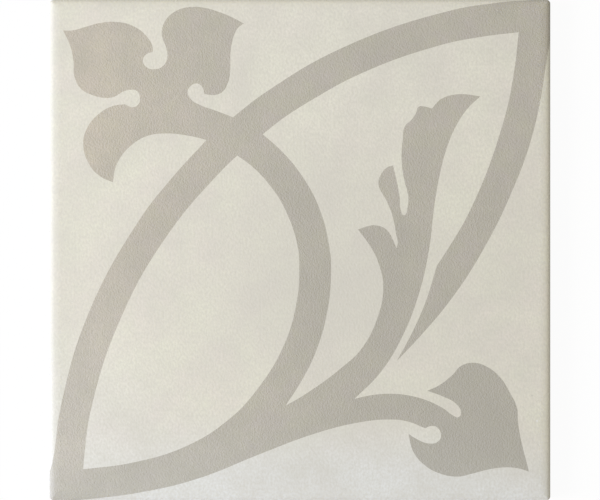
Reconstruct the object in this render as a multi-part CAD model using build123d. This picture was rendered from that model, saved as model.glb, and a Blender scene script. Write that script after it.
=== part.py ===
from build123d import *

import os
from math import atan2, degrees, isclose

# A square floor tile, pressed from porcelain powder and fired as one piece. It lies face up on its
# keyed back. The origin is at the middle of the back, and +Z points out of the glazed face.

# Driving dimensions, in millimetres
tile_side = 200.0               # length and width over the upright band of the edge
tile_thickness = 9.0            # from the land of the back to the face
corner_radius = 1.6             # upright corners of the band, in plan

# Cushioned face edge: the face eases down slowly, then rolls over the cushion to the arris
ease_width = 2.4                # strip inside the cushion where the face starts to fall
ease_drop = 0.15                # how far the face falls across that strip
cushion_width = 2.0             # strip along each edge where the face rolls over
cushion_drop = 0.75             # how far the face falls across that strip
arris_radius = 0.4              # round between the cushion and the upright band

# Foot, drafted so that the die lets go of it and adhesive can rise in the joint
foot_height = 4.4               # the draft starts this far above the back
foot_inset = 0.9                # the back is set in this far on every side
foot_radius = 0.35              # round along the edge of the back

# Keyed back: a waffle of shallow pockets between flat ribs
pocket_count = 6                # pockets in a row and in a column
border_width = 8.5              # flat land between the foot's edge and the outer pockets
rib_width = 5.0                 # flat land between two pockets
pocket_depth = 0.8
pocket_corner_radius = 3.0      # at the pocket's mouth, in plan
pocket_wall_lean = 0.5          # how far a wall leans in by the pocket's floor

# Sizes that follow from the driving dimensions
half_side = tile_side / 2
brow_height = tile_thickness - ease_drop
shoulder_height = brow_height - cushion_drop
foot_draft = degrees(atan2(foot_inset, foot_height))
keyed_field = tile_side - 2 * (foot_inset + border_width)
pocket_side = (keyed_field - (pocket_count - 1) * rib_width) / pocket_count
pocket_pitch = pocket_side + rib_width
pocket_draft = degrees(atan2(pocket_wall_lean, pocket_depth))


def pressed_blank():
    """The slab as the die shapes it: an upright band above a drafted foot."""
    outline = RectangleRounded(tile_side, tile_side, corner_radius)
    band = extrude(Pos(Z=foot_height) * outline, amount=tile_thickness - foot_height)
    foot = extrude(outline, amount=foot_height)
    foot_walls = foot.faces().filter_by(Axis.Z, reverse=True)
    foot = draft(foot_walls, Plane.XY.offset(foot_height), -foot_draft)
    back_edges = foot.faces().sort_by(Axis.Z)[0].edges()
    return band + fillet(back_edges, foot_radius)


def cushion_bar():
    """A bar along Y, as wide and thick as the tile, with the cushioned edge down both long sides."""
    shoulder = (half_side, shoulder_height)
    brow = (half_side - cushion_width, brow_height)
    crown = (half_side - cushion_width - ease_width, tile_thickness)
    with BuildSketch(Plane.XZ) as section:
        with BuildLine():
            ease = TangentArc(crown, brow, tangent=(1, 0))
            TangentArc(brow, shoulder, tangent=ease % 1)
            Polyline(shoulder, (half_side, 0), (0, 0), (0, tile_thickness), crown)
        make_face()
        mirror(about=Plane.YZ)
        shoulders = section.vertices().filter_by(lambda v: isclose(v.Y, shoulder_height))
        fillet(shoulders, arris_radius)
    return extrude(section.sketch, amount=half_side, both=True)


def keying_pockets():
    """The pockets of the back, each with leaning walls and round corners."""
    mouth = RectangleRounded(pocket_side, pocket_side, pocket_corner_radius)
    pocket = extrude(mouth, amount=pocket_depth, taper=pocket_draft)
    places = GridLocations(pocket_pitch, pocket_pitch, pocket_count, pocket_count)
    return [place * pocket for place in places]


def floor_tile():
    """The whole tile: the blank, its face cushioned along both directions, its back keyed."""
    bar = cushion_bar()
    cushioned = pressed_blank() & bar & (Rot(Z=90) * bar)
    return cushioned - keying_pockets()


os.makedirs("parts", exist_ok=True)
tile = floor_tile()
export_step(tile, os.path.join("parts", "floor_tile.step"))
print(f"pocket {pocket_side:.2f} mm square, pitch {pocket_pitch:.2f} mm, foot draft {foot_draft:.1f} degrees")
print(f"volume {tile.volume / 1000:.1f} cm3, faces {len(tile.faces())}")
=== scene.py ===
import math

import bmesh
import bpy
from mathutils import Matrix, Vector


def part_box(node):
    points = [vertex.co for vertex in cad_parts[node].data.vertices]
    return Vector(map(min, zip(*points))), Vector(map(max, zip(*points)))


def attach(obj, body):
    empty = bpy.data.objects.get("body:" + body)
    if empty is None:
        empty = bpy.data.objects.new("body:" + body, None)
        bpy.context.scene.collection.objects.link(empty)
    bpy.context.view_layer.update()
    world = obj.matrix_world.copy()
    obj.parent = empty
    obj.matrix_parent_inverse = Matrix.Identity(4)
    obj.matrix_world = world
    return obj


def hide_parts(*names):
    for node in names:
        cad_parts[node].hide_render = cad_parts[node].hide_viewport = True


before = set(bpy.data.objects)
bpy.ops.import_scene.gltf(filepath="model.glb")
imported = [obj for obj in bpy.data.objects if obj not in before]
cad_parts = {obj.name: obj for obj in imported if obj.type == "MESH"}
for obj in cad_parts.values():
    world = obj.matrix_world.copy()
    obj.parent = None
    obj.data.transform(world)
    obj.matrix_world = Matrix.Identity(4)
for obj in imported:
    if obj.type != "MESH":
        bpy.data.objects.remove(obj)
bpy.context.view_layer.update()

# A printed porcelain floor tile, lying face up on its keyed back.
# The mesh is drawn in millimetres and scaled to metres when it is done.
mm = 0.001
tileLow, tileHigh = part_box("floor_tile")

tileBody = {
    "name": "printed_floor_tile",
    "side": round((tileHigh.x - tileLow.x) / mm, 3),
    "thickness": round((tileHigh.z - tileLow.z) / mm, 3),
    "cornerRadius": 1.6,      # upright corners, seen from above
    "cornerFlats": 6,         # flats that make up each round corner
    "easeWidth": 2.4,         # strip inside the cushion where the face starts to fall
    "easeDrop": 0.15,
    "easeSteps": 4,
    "cushionWidth": 2.0,      # strip along every edge where the face rolls over
    "cushionDrop": 0.75,
    "cushionSteps": 6,
    "arrisRadius": 0.4,       # round between the cushion and the upright band
    "arrisSteps": 6,
    "flatGuard": 0.35,        # a loop just inside the ease keeps the flat of the face flat
    "footHeight": 4.4,        # below this the sides lean in
    "footInset": 0.9,
    "footRadius": 0.35,
    "footSteps": 4,
    "weld": 0.002,            # points nearer than this are one point
    "cutSnap": 0.0001,        # points nearer than this to a cut lie on it
    "creaseAngle": 32,        # edges that turn more than this look sharp
}
halfSide = tileBody["side"] / 2

# Order of the finishes on the piece
groundFinish, printFinish, bareFinish = 0, 1, 2

# The printed scroll, in millimetres from the lower left corner of the face. Each stroke starts at a
# sharp point of the print, its other knots are smooth, and each runs on into the next stroke.
# Bands that leave the tile run past its edge and are cut off with the sheet.
scrollPrint = {
    "spareSheet": 12.0,       # ground beyond the tile, before the sheet is cut to size
    "trueSize": 0.9978,       # the strokes were measured on the face, which looms larger than the edge
    "stepsPerKnot": 8,
    "outline": {
        "leftBandOuter": [(-3.0, 4.0), (0.1, 12.2), (1.1, 15.8), (4.2, 36.9), (15.2, 74.2), (35.8, 112.1),
                          (47.8, 127.7)],
        "stemUnderside": [(62.6, 144.0), (56.0, 145.6), (46.0, 146.6), (38.6, 145.5), (32.7, 142.0),
                          (28.4, 137.3), (26.1, 132.6)],
        "lowLeafBack": [(25.2, 127.1), (20.3, 129.3), (15.6, 134.4), (13.3, 143.2), (15.0, 149.0),
                        (19.6, 154.5), (25.2, 157.6)],
        "lowBud": [(29.9, 158.3), (33.1, 157.1), (35.4, 158.3), (36.0, 161.0), (34.9, 163.5), (32.1, 164.1),
                   (29.4, 163.4), (25.7, 161.3), (22.7, 160.8), (17.4, 161.8), (12.1, 164.8), (9.7, 169.8),
                   (9.4, 175.5), (7.9, 182.2)],
        "leftLeafTop": [(5.2, 187.8), (8.8, 187.8), (14.4, 189.3), (20.0, 190.8), (26.6, 191.2),
                        (32.8, 189.8), (38.8, 185.3), (41.2, 180.4)],
        "topBud": [(41.0, 179.2), (38.8, 178.4), (37.2, 176.0), (38.8, 173.0), (41.4, 172.3), (44.6, 173.1),
                   (46.8, 176.4), (46.5, 180.9), (45.0, 184.7), (44.8, 187.8), (46.0, 191.5), (50.1, 195.4),
                   (56.2, 197.2), (62.0, 196.8), (68.2, 195.0), (72.8, 193.1)],
        "topLeafRight": [(77.5, 190.6), (75.2, 188.8), (73.2, 184.4), (72.2, 178.6), (72.1, 172.4),
                         (71.2, 166.9), (68.8, 163.1), (65.7, 162.0)],
        "rightBud": [(61.7, 162.4), (61.4, 164.2), (59.9, 166.2), (58.4, 166.6), (56.3, 165.6),
                     (55.1, 163.4), (56.1, 160.6), (60.3, 157.9), (66.7, 155.6)],
        "topBandOuter": [(73.2, 153.1), (85.1, 162.3), (117.2, 181.0), (162.0, 196.2), (178.6, 198.9),
                         (200.0, 201.9)],
        "rightBandOuter": [(204.8, 204.8), (200.2, 184.0), (193.4, 147.6), (185.4, 124.9), (173.2, 100.0),
                           (160.5, 80.4), (148.4, 65.9)],
        "rightBandInner": [(138.7, 55.6), (144.2, 65.7), (150.0, 78.6), (153.8, 90.5), (154.7, 93.5),
                           (156.7, 96.6), (168.0, 115.8), (181.6, 152.1), (185.6, 171.2)],
        "topBandInner": [(187.5, 187.1), (171.5, 185.1), (156.1, 181.9), (124.2, 170.5), (104.2, 159.7),
                         (92.6, 152.2)],
        "ringOuter": [(85.1, 146.3), (92.7, 139.5), (100.0, 130.8), (107.6, 117.0), (111.9, 100.0),
                      (112.4, 90.0), (111.0, 75.8), (106.3, 59.2), (100.8, 48.0)],
        "acanthusFoot": [(94.3, 37.8), (101.6, 42.0), (117.1, 53.3), (124.2, 60.0), (130.8, 72.4),
                         (133.3, 85.0), (131.7, 93.9), (128.9, 100.2)],
        "lowLobe": [(123.2, 108.2), (127.0, 109.5), (129.8, 109.9), (134.4, 108.3), (137.4, 103.6)],
        "midLobe": [(138.6, 100.6), (139.1, 103.0), (138.5, 106.0), (137.3, 112.4), (134.7, 119.5),
                    (131.8, 124.7), (131.3, 126.8), (132.9, 131.0), (134.9, 133.1)],
        "lobeSlot": [(137.2, 133.8), (138.5, 128.4), (139.8, 121.5), (140.4, 115.7), (141.6, 113.9),
                     (143.0, 117.0), (143.3, 121.0), (141.6, 128.6), (140.6, 136.0), (141.1, 144.1),
                     (141.9, 149.4), (144.7, 152.2), (146.5, 155.0), (147.5, 157.3), (149.6, 157.4)],
        "crown": [(152.8, 156.6), (154.6, 158.8), (157.0, 160.7), (163.2, 162.3)],
        "acanthusBack": [(172.2, 161.5), (167.6, 157.2), (163.0, 150.7), (158.9, 141.4), (156.0, 130.6),
                         (153.7, 117.6), (151.8, 101.4), (148.2, 84.7), (140.8, 65.1), (132.0, 50.8)],
        "leafStem": [(121.8, 40.5), (128.9, 42.0), (137.2, 42.5), (143.7, 41.8), (151.1, 39.7),
                     (157.2, 36.7), (162.0, 33.4), (163.3, 33.1), (164.4, 34.9), (162.6, 38.3),
                     (157.2, 41.4)],
        "leafCrown": [(150.9, 43.7), (155.5, 45.8), (160.8, 49.9), (164.5, 53.7), (169.4, 54.9),
                      (174.8, 53.3), (180.1, 49.0), (184.2, 42.5), (186.8, 36.9), (187.2, 31.2),
                      (188.4, 24.0)],
        "leafFoot": [(191.6, 11.4), (186.6, 12.8), (180.5, 13.0), (174.4, 12.0), (168.2, 10.4),
                     (163.4, 9.4), (156.0, 10.6), (149.3, 14.4), (145.0, 20.0)],
        "leafBud": [(143.4, 26.5), (146.7, 24.4), (151.9, 22.6), (155.2, 23.4), (156.4, 26.3),
                    (154.6, 29.2), (152.4, 29.6)],
        "lowBandOuter": [(150.0, 28.7), (143.1, 31.4), (135.8, 32.2), (122.8, 30.9), (104.5, 26.1),
                         (86.0, 19.2), (58.0, 8.2), (35.8, 3.0), (12.7, 0.0), (0.8, -1.2)],
    },
    "eye": {
        "eyeRight": [(74.9, 137.8), (81.1, 133.2), (88.0, 125.8), (94.2, 115.9), (99.2, 100.6), (99.7, 92.0),
                     (98.8, 80.0), (93.6, 62.0), (82.9, 44.3), (71.6, 32.3), (54.6, 21.6), (32.7, 14.9)],
        "eyeLeft": [(13.2, 12.3), (16.1, 34.8), (29.1, 74.5), (48.0, 107.4), (68.8, 131.9)],
    },
}


def flatFigure(name, figure):
    # a flat curve fills itself between its closed outlines
    curve = bpy.data.curves.new(name, "CURVE")
    curve.dimensions = "2D"
    curve.fill_mode = "BOTH"
    curve.resolution_u = scrollPrint["stepsPerKnot"]
    for strokes in figure:
        knots = [(knot, place == 0) for stroke in strokes for place, knot in enumerate(stroke)]
        spline = curve.splines.new("BEZIER")
        spline.bezier_points.add(len(knots) - 1)
        spline.use_cyclic_u = True
        for point, (knot, isSharp) in zip(spline.bezier_points, knots):
            point.co = (*knot, 0)
            point.handle_left_type = "VECTOR" if isSharp else "AUTO"
            point.handle_right_type = "VECTOR" if isSharp else "AUTO"
    holder = bpy.data.objects.new(name, curve)
    bpy.context.scene.collection.objects.link(holder)
    filled = bpy.data.meshes.new_from_object(holder)
    bpy.data.objects.remove(holder)
    bpy.data.curves.remove(curve)
    return filled


def printedSheet():
    # ground and print share one outline, so they weld into a single sheet
    low, high = -scrollPrint["spareSheet"], tileBody["side"] + scrollPrint["spareSheet"]
    blank = [[(low, low)], [(high, low)], [(high, high)], [(low, high)]]
    scroll = list(scrollPrint["outline"].values())
    eye = list(scrollPrint["eye"].values())
    sheet = bmesh.new()
    for finish, figure in ((groundFinish, (blank, scroll, eye)), (printFinish, (scroll, eye))):
        filled = flatFigure("scrollFill", figure)
        before = len(sheet.faces)
        sheet.from_mesh(filled)
        bpy.data.meshes.remove(filled)
        sheet.faces.ensure_lookup_table()
        for face in sheet.faces[before:]:
            face.material_index = finish
    bmesh.ops.remove_doubles(sheet, verts=sheet.verts, dist=tileBody["weld"])
    sheet.normal_update()
    for face in sheet.faces:
        if face.normal.z < 0:
            face.normal_flip()
    within = [edge for edge in sheet.edges if len({face.material_index for face in edge.link_faces}) == 1]
    within = [edge for edge in within if edge.is_manifold]
    bmesh.ops.beautify_fill(sheet, faces=sheet.faces, edges=within)
    bmesh.ops.translate(sheet, verts=sheet.verts, vec=(-halfSide, -halfSide, 0))
    bmesh.ops.scale(sheet, verts=sheet.verts, vec=(scrollPrint["trueSize"], scrollPrint["trueSize"], 1))
    return sheet


def cutSheet(sheet, point, normal, faces=None, dropOuter=False):
    faces = sheet.faces[:] if faces is None else faces
    edges = list({edge for face in faces for edge in face.edges})
    verts = list({vert for face in faces for vert in face.verts})
    bmesh.ops.bisect_plane(
        sheet, geom=verts + edges + faces, dist=tileBody["cutSnap"], plane_co=point, plane_no=normal,
        clear_outer=dropOuter
    )


# Profile of the face's edge: a slow arc that leaves the flat level, the tighter arc of the cushion, then
# the round of the arris. Each starts in line with the last. The bows are the arcs' radii, bowIn is how
# far in from the edge the cushion's centre lies, and meet where the cushion runs into the arris.
easedIn = tileBody["cushionWidth"] + tileBody["easeWidth"]
easeBow = (tileBody["easeWidth"] ** 2 + tileBody["easeDrop"] ** 2) / (2 * tileBody["easeDrop"])
easeSine = tileBody["easeWidth"] / easeBow
easeCosine = math.sqrt(1 - easeSine ** 2)
cushionRise = tileBody["cushionDrop"] * easeCosine - tileBody["cushionWidth"] * easeSine
bow = (tileBody["cushionWidth"] ** 2 + tileBody["cushionDrop"] ** 2) / (2 * cushionRise)
bowIn = tileBody["cushionWidth"] + bow * easeSine
bowCentre = tileBody["thickness"] - tileBody["easeDrop"] - bow * easeCosine
arrisIn = bowIn - tileBody["arrisRadius"]
meet = bowIn - arrisIn * bow / (bow - tileBody["arrisRadius"])
arrisCentre = bowCentre + math.sqrt((bow - tileBody["arrisRadius"]) ** 2 - arrisIn ** 2)


def faceHeight(inFromEdge):
    radius = tileBody["arrisRadius"]
    if inFromEdge >= easedIn:
        return tileBody["thickness"]
    if inFromEdge >= tileBody["cushionWidth"]:
        return tileBody["thickness"] - easeBow + math.sqrt(easeBow ** 2 - (easedIn - inFromEdge) ** 2)
    if inFromEdge >= meet:
        return bowCentre + math.sqrt(bow ** 2 - (bowIn - inFromEdge) ** 2)
    return arrisCentre + math.sqrt(max(0, radius ** 2 - (radius - inFromEdge) ** 2))


def edgeDistance(x, y):
    radius = tileBody["cornerRadius"]
    inX, inY = halfSide - abs(x), halfSide - abs(y)
    if max(inX, inY) < radius:
        return radius - math.hypot(radius - inX, radius - inY)
    return min(inX, inY)


def standOnOutline(vert, inset, height):
    # moves a point squarely to the outline, then this far in from it
    core = halfSide - tileBody["cornerRadius"]
    nearest = Vector((max(-core, min(core, vert.co.x)), max(-core, min(core, vert.co.y))))
    outward = (vert.co.xy - nearest).normalized()
    place = nearest + outward * (tileBody["cornerRadius"] - inset)
    vert.co = (place.x, place.y, height)


def trimToOutline(sheet):
    for side in ((1, 0, 0), (-1, 0, 0), (0, 1, 0), (0, -1, 0)):
        cutSheet(sheet, Vector(side) * halfSide, side, dropOuter=True)
    radius = tileBody["cornerRadius"]
    step = math.pi / 2 / tileBody["cornerFlats"]
    for signX, signY in ((1, 1), (-1, 1), (-1, -1), (1, -1)):
        centre = Vector((signX, signY, 0)) * (halfSide - radius)
        for flat in range(tileBody["cornerFlats"]):
            angle = (flat + 0.5) * step
            normal = Vector((signX * math.cos(angle), signY * math.sin(angle), 0))
            cutSheet(sheet, centre + normal * radius * math.cos(step / 2), normal, dropOuter=True)


def edgeStations():
    # where the loops run along the edge, in millimetres in from it
    width, radius = tileBody["cushionWidth"], tileBody["arrisRadius"]
    flattest = math.asin((radius - meet) / radius)
    stations = [easedIn + tileBody["flatGuard"]]
    for step in range(tileBody["easeSteps"]):
        stations.append(easedIn - tileBody["easeWidth"] * step / tileBody["easeSteps"])
    for step in range(tileBody["cushionSteps"] + 1):
        stations.append(width + (meet - width) * step / tileBody["cushionSteps"])
    for step in range(1, tileBody["arrisSteps"]):
        tilt = flattest + (math.pi / 2 - flattest) * step / tileBody["arrisSteps"]
        stations.append(radius - radius * math.sin(tilt))
    return stations


def cushionEdge(sheet):
    for station in edgeStations():
        for side in ((1, 0, 0), (-1, 0, 0), (0, 1, 0), (0, -1, 0)):
            cutSheet(sheet, Vector(side) * (halfSide - station), side)
    # the cushions of two edges meet on the corner's diagonal
    core = halfSide - easedIn - tileBody["flatGuard"] - tileBody["weld"]
    for across in ((1, -1, 0), (1, 1, 0)):
        corners = [face for face in sheet.faces
                   if all(min(abs(vert.co.x), abs(vert.co.y)) > core for vert in face.verts)]
        cutSheet(sheet, (0, 0, 0), across, faces=corners)
    bmesh.ops.remove_doubles(sheet, verts=sheet.verts, dist=tileBody["weld"])
    bmesh.ops.dissolve_degenerate(sheet, edges=sheet.edges, dist=tileBody["weld"])
    for vert in sheet.verts:
        if vert.is_boundary:
            standOnOutline(vert, 0, faceHeight(0))
        else:
            vert.co.z = faceHeight(edgeDistance(vert.co.x, vert.co.y))


def pullDown(sheet, inset, height):
    rim = [edge for edge in sheet.edges if edge.is_boundary]
    pulled = bmesh.ops.extrude_edge_only(sheet, edges=rim)["geom"]
    for part in pulled:
        if isinstance(part, bmesh.types.BMVert):
            standOnOutline(part, inset, height)
        elif isinstance(part, bmesh.types.BMFace):
            part.material_index = bareFinish


def pressedSides(sheet):
    # upright band, leaning foot, then the small round onto the back
    radius, steps = tileBody["footRadius"], tileBody["footSteps"]
    lean = math.atan2(tileBody["footInset"], tileBody["footHeight"])
    roundIn = tileBody["footInset"] + radius / math.tan((math.pi / 2 + lean) / 2)
    pullDown(sheet, 0, tileBody["footHeight"])
    for step in range(steps + 1):
        turn = lean + (math.pi / 2 - lean) * step / steps
        pullDown(sheet, roundIn - radius * math.cos(turn), radius - radius * math.sin(turn))


# Shallow pockets that key the back into its bed
keyedBack = {
    "pocketCount": 6,
    "border": 8.5,            # land between the foot's edge and the outer pockets
    "ribWidth": 5.0,
    "pocketDepth": 0.8,
    "pocketCorner": 3.0,
    "cornerSegments": 5,
    "wallLean": 0.5,
}


def keyBack(sheet):
    count, rib = keyedBack["pocketCount"], keyedBack["ribWidth"]
    field = tileBody["side"] - 2 * (tileBody["footInset"] + keyedBack["border"])
    pocketSide = (field - (count - 1) * rib) / count
    firstPlace = (pocketSide - field) / 2
    mouths = []
    for column in range(count):
        for row in range(count):
            place = Vector((column, row, 0)) * (pocketSide + rib) + Vector((firstPlace, firstPlace, 0))
            mouths += bmesh.ops.create_grid(
                sheet, x_segments=1, y_segments=1, size=pocketSide / 2, matrix=Matrix.Translation(place)
            )["verts"]
    rounded = bmesh.ops.bevel(
        sheet, geom=mouths, offset=keyedBack["pocketCorner"], offset_type="OFFSET", affect="VERTICES",
        segments=keyedBack["cornerSegments"], profile=0.5, material=-1, clamp_overlap=True
    )
    pockets = list({face for vert in rounded["verts"] for face in vert.link_faces})
    bmesh.ops.inset_individual(
        sheet, faces=pockets, thickness=keyedBack["wallLean"], depth=keyedBack["pocketDepth"],
        use_even_offset=True
    )
    land = [edge for edge in sheet.edges if edge.is_boundary]
    bmesh.ops.triangle_fill(sheet, use_beauty=True, use_dissolve=False, edges=land)
    for face in sheet.faces:
        if face.calc_center_median().z < keyedBack["pocketDepth"] + tileBody["weld"]:
            face.material_index = bareFinish


def finishMesh(sheet):
    bmesh.ops.recalc_face_normals(sheet, faces=sheet.faces)
    crease = math.radians(tileBody["creaseAngle"])
    footLine = tileBody["footHeight"]
    for face in sheet.faces:
        face.smooth = True
    for edge in sheet.edges:
        onFootLine = all(abs(vert.co.z - footLine) < tileBody["weld"] for vert in edge.verts)
        edge.smooth = edge.calc_face_angle(0) < crease and not onFootLine
    bmesh.ops.scale(sheet, verts=sheet.verts, vec=(mm, mm, mm))


def toLinear(hexColour):
    levels = [int(hexColour[place:place + 2], 16) / 255 for place in (1, 3, 5)]
    levels = [((level + 0.055) / 1.055) ** 2.4 if level > 0.04045 else level / 12.92 for level in levels]
    return (*levels, 1.0)


def addNode(tree, kind, settings, inputs):
    # inputs go by name or by place: 6 and 7 are the colours of a Mix, 1 to 4 the ends of a MapRange
    node = tree.nodes.new("ShaderNode" + kind)
    for name, value in settings.items():
        setattr(node, name, value)
    for socket, value in inputs.items():
        if isinstance(value, bpy.types.NodeSocket):
            tree.links.new(value, node.inputs[socket])
        else:
            node.inputs[socket].default_value = value
    return node


def perMetre(size):
    return 1 / (size * mm)     # texture scale for a pattern of this size in millimetres


# Matt porcelain glaze: a pebbled skin with faint clouds and a few wide blotches of tone, some of which are
# painted light: a dark reflection in the middle of the face, cool light along the near edge and at the lower
# left, and warm shade along the far edge. A painted shade also darkens the far and right edges, which roll
# away from the lamps. A blotch has its middle, the reach of its full tone, the reach at which it has faded
# out, the tone and the share of it.
creamGlaze = {
    "name": "matt_cream_glaze",
    "warm": "#E2DFC9",
    "cool": "#E3DBCB",
    "shade": "#CBC7B9",
    "patchSize": 14.0,
    "cloudSize": 26.0,
    "cloudShare": 0.65,
    "blotchesAndPaintedLight": [
        # painted dark reflection in the middle of the face
        ((8, -12), 0, 72, "#D0CCBD", 0.62),
        ((30, 110), 0, 120, "#E9E6D5", 0.5),
        # painted cool light along the near edge
        ((10, -400), 308, 342, "#E2E4E1", 0.8),         # a strip along the near edge
        # painted cool light at the lower left
        ((-100, -90), 0, 75, "#E4E3DF", 0.5),
        # painted warm shade along the far edge
        ((0, 5100), 5000, 5003, "#E0DABF", 0.5),        # a strip along the far edge
        ((94.6, -68.2), 0.15, 0.55, "#F2F3EF", 0.9),    # a pale fleck
        ((92.6, -58.1), 0.1, 0.6, "#B4B1A6", 0.7),      # a dark fleck
    ],
    "grainSize": 0.9,         # across the grain
    "grainDetail": 2.0,
    "grainStretch": 1.3,      # and how much longer it is
    "grainRelief": 0.07,
    "grainTone": 0.50,
    # painted shade on the far and right edges, which roll away from the lamps
    "shadedEdgeTone": "#C8C4B5",
    "shadedEdgeReach": (1.2, 0.1),  # how far in from the edge that tone starts, and where it is full
    "roughness": (0.60, 0.70),
}
# The same glaze over grey ceramic ink, which lies paler and pinker to the left: a crisper, leathery grain.
# Its blotches carry the same painted dark reflection and cool light as the cream's, and its edges the
# painted shade
greyPrint = {
    "name": "grey_printed_glaze",
    "warm": "#BFBAA6",
    "cool": "#C0B8AB",
    "shade": "#A7A396",
    "patchSize": 8.0,
    "cloudSize": 24.0,
    "cloudShare": 0.55,
    "blotchesAndPaintedLight": [
        ((-185, 45), 0, 190, "#DACAB0", 0.9),
        # painted cool light at the lower left
        ((-150, -70), 0, 130, "#D0CBBF", 0.6),
        # painted dark reflection in the middle of the face
        ((14, -10), 0, 70, "#B2AD9D", 0.5),
        ((70, -75), 10, 75, "#AFAB9D", 0.6),
        # painted cool light along the near edge
        ((10, -400), 308, 342, "#BEBCB1", 0.5),
    ],
    "grainSize": 0.55,
    "grainDetail": 1.0,
    "grainStretch": 1.1,
    "grainRelief": 0.17,
    "grainTone": 0.30,
    # painted shade on the far and right edges, which roll away from the lamps
    "shadedEdgeTone": "#A9A598",
    "shadedEdgeReach": (1.2, 0.1),
    "roughness": (0.70, 0.80),
}


def mattGlaze(recipe):
    material = bpy.data.materials.new(recipe["name"])
    material.use_nodes = True
    tree = material.node_tree
    tree.nodes.clear()
    place = addNode(tree, "TexCoord", {}, {}).outputs["Object"]

    # warm and cool patches of the firing
    patch = addNode(tree, "TexNoise", {}, {
        "Vector": place, "Scale": perMetre(recipe["patchSize"]), "Detail": 4.0, "Roughness": 0.62})
    patchSpread = addNode(tree, "MapRange", {}, {0: patch.outputs[0], 1: 0.36, 2: 0.64})
    tone = addNode(tree, "Mix", {"data_type": "RGBA"}, {
        0: patchSpread.outputs[0], 6: toLinear(recipe["warm"]), 7: toLinear(recipe["cool"])})

    # wide blotches of tone, and painted light and shade laid on the same way
    for middle, reach, fade, blotchAndLightTone, share in recipe["blotchesAndPaintedLight"]:
        away = addNode(tree, "VectorMath", {"operation": "DISTANCE"}, {
            0: place, 1: Vector((*middle, tileBody["thickness"])) * mm})
        near = addNode(tree, "MapRange", {"interpolation_type": "SMOOTHSTEP"}, {
            0: away.outputs["Value"], 1: fade * mm, 2: reach * mm, 3: 0.0, 4: share})
        tone = addNode(tree, "Mix", {"data_type": "RGBA"}, {
            0: near.outputs[0], 6: tone.outputs[2], 7: toLinear(blotchAndLightTone)})

    # clouds from the size of a hand down to that of the grain, and a fleck that follows the grain
    cloud = addNode(tree, "TexNoise", {}, {
        "Vector": place, "Scale": perMetre(recipe["cloudSize"]), "Detail": 6.0, "Roughness": 0.78})
    cloudSpread = addNode(tree, "MapRange", {}, {
        0: cloud.outputs[0], 1: 0.30, 2: 0.70, 3: 0.0, 4: recipe["cloudShare"]})
    clouded = addNode(tree, "Mix", {"data_type": "RGBA"}, {
        0: cloudSpread.outputs[0], 6: tone.outputs[2], 7: toLinear(recipe["shade"])})
    stretched = addNode(tree, "Mapping", {"vector_type": "TEXTURE"}, {
        "Vector": place, "Scale": (1, recipe["grainStretch"], 1)})
    grain = addNode(tree, "TexNoise", {}, {
        "Vector": stretched.outputs[0], "Scale": perMetre(recipe["grainSize"]),
        "Detail": recipe["grainDetail"], "Roughness": 0.5})
    grainSpread = addNode(tree, "MapRange", {}, {
        0: grain.outputs[0], 1: 0.66, 2: 0.34, 3: 0.0, 4: recipe["grainTone"]})
    flecked = addNode(tree, "Mix", {"data_type": "RGBA"}, {
        0: grainSpread.outputs[0], 6: clouded.outputs[2], 7: toLinear(recipe["shade"])})

    # painted shade along the far and the right edge, which roll away from the lamps
    apart = addNode(tree, "SeparateXYZ", {}, {0: place})
    nearest = addNode(tree, "Math", {"operation": "MAXIMUM"}, {0: apart.outputs[0], 1: apart.outputs[1]})
    shadeStart, shadeFull = (halfSide - reach for reach in recipe["shadedEdgeReach"])
    shadedEdgeMask = addNode(tree, "MapRange", {"interpolation_type": "SMOOTHSTEP"}, {
        0: nearest.outputs[0], 1: shadeStart * mm, 2: shadeFull * mm, 3: 0.0, 4: 1.0})
    glazed = addNode(tree, "Mix", {"data_type": "RGBA"}, {
        0: shadedEdgeMask.outputs[0], 6: flecked.outputs[2], 7: toLinear(recipe["shadedEdgeTone"])})

    rough = addNode(tree, "MapRange", {}, {
        0: grain.outputs[0], 1: 0.35, 2: 0.65, 3: recipe["roughness"][0], 4: recipe["roughness"][1]})
    relief = addNode(tree, "Bump", {}, {
        "Strength": 1.0, "Distance": recipe["grainRelief"] * mm, "Height": grain.outputs[0]})
    skin = addNode(tree, "BsdfPrincipled", {}, {
        "Base Color": glazed.outputs[2], "Roughness": rough.outputs[0], "Normal": relief.outputs[0],
        "IOR": 1.5, "Specular IOR Level": 0.25})
    addNode(tree, "OutputMaterial", {}, {"Surface": skin.outputs[0]})
    return material


# Bare porcelain body on the sides and back: dry and chalky, with dark specks, a ragged line where the
# glaze stops below the arris, and a whiter kiln wash rubbed off on the ribs of the back
bareBody = {
    "name": "bare_porcelain_body",
    "warm": "#B5A78E",
    "cool": "#ADA38F",
    "speck": "#7E7464",
    "wash": "#CFC8B8",
    "glaze": "#C8C1B1",
    "patchSize": 6.0,
    "washFade": (0.15, 0.02),    # heights above the back where the wash starts and where it is full
    "washShare": 0.75,
    "speckSize": 0.7,
    "speckShare": 0.6,
    "gritSize": 0.35,
    "gritRelief": 0.02,
    "glazeLine": 6.9,         # height above the back at which the glaze runs out
    "glazeWander": 1.0,
    "wanderSize": 5.0,
    "glazeFade": 0.12,
    "roughness": (0.82, 0.5),    # bare, and under the end of the glaze
}


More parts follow.
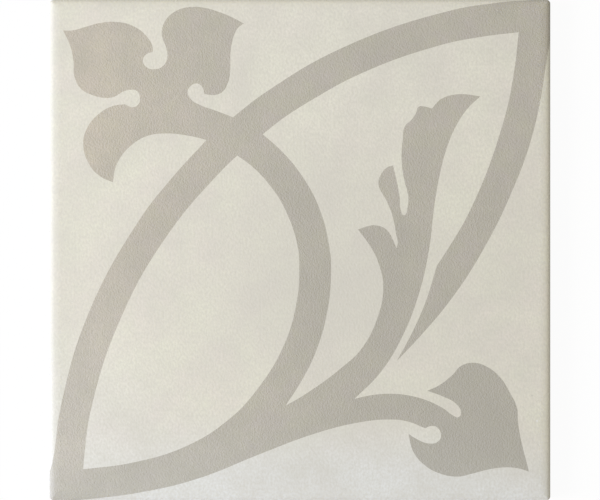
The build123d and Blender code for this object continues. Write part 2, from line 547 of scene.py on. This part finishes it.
def barePorcelain(recipe):
    material = bpy.data.materials.new(recipe["name"])
    material.use_nodes = True
    tree = material.node_tree
    tree.nodes.clear()
    place = addNode(tree, "TexCoord", {}, {}).outputs["Object"]
    height = addNode(tree, "SeparateXYZ", {}, {0: place}).outputs[2]

    patch = addNode(tree, "TexNoise", {}, {
        "Vector": place, "Scale": perMetre(recipe["patchSize"]), "Detail": 4.0, "Roughness": 0.6})
    patchSpread = addNode(tree, "MapRange", {}, {0: patch.outputs[0], 1: 0.35, 2: 0.65})
    tint = addNode(tree, "Mix", {"data_type": "RGBA"}, {
        0: patchSpread.outputs[0], 6: toLinear(recipe["warm"]), 7: toLinear(recipe["cool"])})

    # kiln wash stays on the land of the back, in rubbed patches
    washStart, washFull = recipe["washFade"]
    onLand = addNode(tree, "MapRange", {}, {
        0: height, 1: washStart * mm, 2: washFull * mm, 3: 0.0, 4: recipe["washShare"]})
    washed = addNode(tree, "Math", {"operation": "MULTIPLY"}, {
        0: onLand.outputs[0], 1: patchSpread.outputs[0]})
    dusted = addNode(tree, "Mix", {"data_type": "RGBA"}, {
        0: washed.outputs[0], 6: tint.outputs[2], 7: toLinear(recipe["wash"])})

    speck = addNode(tree, "TexNoise", {}, {
        "Vector": place, "Scale": perMetre(recipe["speckSize"]), "Detail": 1.0, "Roughness": 0.5})
    speckSpread = addNode(tree, "MapRange", {}, {
        0: speck.outputs[0], 1: 0.66, 2: 0.74, 3: 0.0, 4: recipe["speckShare"]})
    specked = addNode(tree, "Mix", {"data_type": "RGBA"}, {
        0: speckSpread.outputs[0], 6: dusted.outputs[2], 7: toLinear(recipe["speck"])})

    # ragged end of the glaze on the upright band
    wander = addNode(tree, "TexNoise", {}, {
        "Vector": place, "Scale": perMetre(recipe["wanderSize"]), "Detail": 3.0, "Roughness": 0.55})
    wanderHeight = addNode(tree, "MapRange", {}, {
        0: wander.outputs[0], 1: 0.3, 2: 0.7,
        3: (recipe["glazeLine"] - recipe["glazeWander"] / 2) * mm,
        4: (recipe["glazeLine"] + recipe["glazeWander"] / 2) * mm})
    above = addNode(tree, "Math", {"operation": "SUBTRACT"}, {0: height, 1: wanderHeight.outputs[0]})
    glazed = addNode(tree, "MapRange", {}, {
        0: above.outputs[0], 1: 0.0, 2: recipe["glazeFade"] * mm})
    surface = addNode(tree, "Mix", {"data_type": "RGBA"}, {
        0: glazed.outputs[0], 6: specked.outputs[2], 7: toLinear(recipe["glaze"])})

    grit = addNode(tree, "TexNoise", {}, {
        "Vector": place, "Scale": perMetre(recipe["gritSize"]), "Detail": 2.0, "Roughness": 0.6})
    rough = addNode(tree, "MapRange", {}, {
        0: glazed.outputs[0], 1: 0.0, 2: 1.0, 3: recipe["roughness"][0], 4: recipe["roughness"][1]})
    relief = addNode(tree, "Bump", {}, {
        "Strength": 1.0, "Distance": recipe["gritRelief"] * mm, "Height": grit.outputs[0]})
    skin = addNode(tree, "BsdfPrincipled", {}, {
        "Base Color": surface.outputs[2], "Roughness": rough.outputs[0], "Normal": relief.outputs[0],
        "IOR": 1.5, "Specular IOR Level": 0.3})
    addNode(tree, "OutputMaterial", {}, {"Surface": skin.outputs[0]})
    return material


def makeTile():
    sheet = printedSheet()
    print("printed sheet:", len(sheet.faces), "faces")
    trimToOutline(sheet)
    cushionEdge(sheet)
    print("cushioned face:", len(sheet.faces), "faces")
    pressedSides(sheet)
    keyBack(sheet)
    finishMesh(sheet)
    openEdges = sum(not edge.is_manifold for edge in sheet.edges)
    print("whole tile:", len(sheet.faces), "faces,", openEdges, "open edges")
    mesh = bpy.data.meshes.new(tileBody["name"])
    sheet.to_mesh(mesh)
    sheet.free()
    for finish in (mattGlaze(creamGlaze), mattGlaze(greyPrint), barePorcelain(bareBody)):
        mesh.materials.append(finish)
    piece = bpy.data.objects.new(tileBody["name"], mesh)
    bpy.context.scene.collection.objects.link(piece)
    return piece


tile = makeTile()
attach(tile, "root")
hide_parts("floor_tile")

# Plain white studio: the floor shows white to the eye and still takes the tile's shadow
studio = {
    "floorSize": 6.0,         # metres
    "opening": 0.1968,        # a gap under the tile, so that its back is lit and seen from below
    "floorDrop": 0.00002,     # keeps the floor clear of the land of the back
    "floorColour": "#F2F2F0",
    "ownWhite": 0.95,         # share of the floor that is plain white to the eye
    "ambient": 0.44,
    "ambientColour": "#FFFAF2",
    "keyFrom": (-0.80, -0.05, 0.60),
    "keyDistance": 1.55,
    "keySize": 0.73,
    "keyWatts": 24.1,
    "keyColour": "#F8FBFF",
    "sideFrom": (-0.95, -0.15, 0.23),
    "sideDistance": 1.5,
    "sideSize": 0.4,
    "sideWatts": 10.6,
    "sideColour": "#8EAAFF",
    "underFrom": (0.62, -0.40, -0.68),
    "underDistance": 1.5,
    "underSize": 0.5,
    "underWatts": 17.0,
    "underColour": "#FFFFFF",
}


def seenDirectly(tree):
    path = addNode(tree, "LightPath", {}, {})
    kinds = ("Camera", "Glossy", "Transmission")
    camera, glossy, through = (path.outputs["Is %s Ray" % kind] for kind in kinds)
    mirrored = addNode(tree, "Math", {"operation": "MAXIMUM"}, {0: glossy, 1: through})
    return addNode(tree, "Math", {"operation": "MAXIMUM"}, {0: camera, 1: mirrored.outputs[0]}).outputs[0]


def whiteFloor():
    sheet = bmesh.new()
    bmesh.ops.create_grid(sheet, x_segments=1, y_segments=1, size=studio["floorSize"] / 2,
                          matrix=Matrix.Translation((0, 0, -studio["floorDrop"])))
    rim = (studio["floorSize"] - studio["opening"]) / 2
    bmesh.ops.inset_individual(sheet, faces=sheet.faces[:], thickness=rim, use_even_offset=True)
    opening = min(sheet.faces, key=lambda face: face.calc_area())
    bmesh.ops.delete(sheet, geom=[opening], context="FACES")
    mesh = bpy.data.meshes.new("studio_floor")
    sheet.to_mesh(mesh)
    sheet.free()
    material = bpy.data.materials.new("white_studio_paper")
    material.use_nodes = True
    tree = material.node_tree
    tree.nodes.clear()
    paper = addNode(tree, "BsdfDiffuse", {}, {"Color": toLinear(studio["floorColour"])})
    glow = addNode(tree, "Emission", {}, {"Color": (1, 1, 1, 1), "Strength": 1.0})
    share = addNode(tree, "Math", {"operation": "MULTIPLY"}, {0: seenDirectly(tree), 1: studio["ownWhite"]})
    both = addNode(tree, "MixShader", {}, {0: share.outputs[0], 1: paper.outputs[0], 2: glow.outputs[0]})
    addNode(tree, "OutputMaterial", {}, {"Surface": both.outputs[0]})
    mesh.materials.append(material)
    floor = bpy.data.objects.new("studio_floor", mesh)
    bpy.context.scene.collection.objects.link(floor)


def softLamp(name, comesFrom, distance, size, watts, colour, sheen=True):
    light = bpy.data.lights.new(name, "AREA")
    light.shape = "DISK"
    light.size = size
    light.energy = watts
    light.color = toLinear(colour)[:3]
    lamp = bpy.data.objects.new(name, light)
    lamp.location = Vector(comesFrom).normalized() * distance
    lamp.rotation_euler = Vector(comesFrom).to_track_quat("Z", "Y").to_euler()
    lamp.visible_camera = False
    lamp.visible_glossy = sheen
    bpy.context.scene.collection.objects.link(lamp)


def ambientLight():
    world = bpy.data.worlds.new("studio_world")
    world.use_nodes = True
    tree = world.node_tree
    tree.nodes.clear()
    soft = addNode(tree, "Background", {}, {
        "Color": toLinear(studio["ambientColour"]), "Strength": studio["ambient"]})
    white = addNode(tree, "Background", {}, {"Color": (1, 1, 1, 1), "Strength": 1.0})
    both = addNode(tree, "MixShader", {}, {0: seenDirectly(tree), 1: soft.outputs[0], 2: white.outputs[0]})
    addNode(tree, "OutputWorld", {}, {"Surface": both.outputs[0]})
    bpy.context.scene.world = world


whiteFloor()
ambientLight()
softLamp("key_lamp", studio["keyFrom"], studio["keyDistance"], studio["keySize"], studio["keyWatts"],
         studio["keyColour"])
# so low that its sheen would wash out the face
softLamp("low_side_lamp", studio["sideFrom"], studio["sideDistance"], studio["sideSize"],
         studio["sideWatts"], studio["sideColour"], sheen=False)
softLamp("under_lamp", studio["underFrom"], studio["underDistance"], studio["underSize"],
         studio["underWatts"], studio["underColour"])
print("studio: floor, ambient light and three lamps")

# The picture looks straight down: it is 600 by 500, the tile fills its height, and the bottom of the
# picture is the tile's near edge
picture = {
    "width": 600,
    "tileWidth": 500.5,       # pixels that the tile's side takes
    "lens": 120.0,
    "sensor": 36.0,
}
eyeData = bpy.data.cameras.new("overhead_camera")
eyeData.lens = picture["lens"]
eyeData.sensor_width = picture["sensor"]
shownWidth = tileBody["side"] * mm * picture["width"] / picture["tileWidth"]
overhead = bpy.data.objects.new("overhead_camera", eyeData)
overhead.location = (0, 0, arrisCentre * mm + shownWidth * picture["lens"] / picture["sensor"])
bpy.context.scene.collection.objects.link(overhead)
bpy.context.scene.camera = overhead
bpy.context.scene.view_settings.view_transform = "Standard"
print("camera: %.0f mm above the tile" % (overhead.location.z / mm))

bpy.context.view_layer.update()
